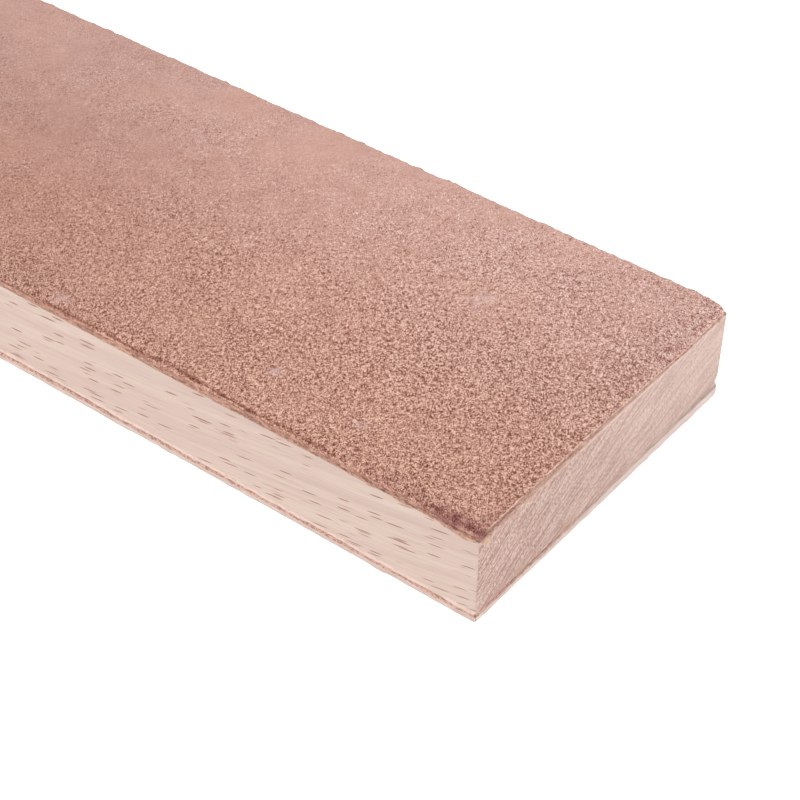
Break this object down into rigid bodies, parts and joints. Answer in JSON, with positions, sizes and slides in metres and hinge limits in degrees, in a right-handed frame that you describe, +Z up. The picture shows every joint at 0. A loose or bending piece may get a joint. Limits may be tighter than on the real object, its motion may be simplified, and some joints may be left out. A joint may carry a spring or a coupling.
{
  "type": "leather strop",
  "caption": "Flat bench strop: a plain rectangular beech block with rough leather glued to one broad face and smooth leather to the other, for honing carving blades.",
  "frame": {"origin": "middle of the lower face, on the surface the strop rests on", "axes": "+X along the length, +Y across the width towards the side with the softened edges, +Z up through the rough leather"},
  "size_m": [0.2032, 0.0762, 0.02],
  "materials": {
    "beech": "bare sanded beech, pale pinkish, matt, with short darker ray flecks",
    "rough_leather": "flesh side out: pinkish brown short nap, fully matt",
    "smooth_leather": "grain side out: pale natural vegetable-tanned, low sheen, fine pores",
    "dried_glue": "thin brownish line of dried contact glue and leather fibre"
  },
  "bodies": {
    "root": {"wood_block": "beech", "rough_leather": "rough_leather", "smooth_leather": "smooth_leather", "upper_glue_line": "dried_glue", "lower_glue_line": "dried_glue"}
  },
  "joints": []
}
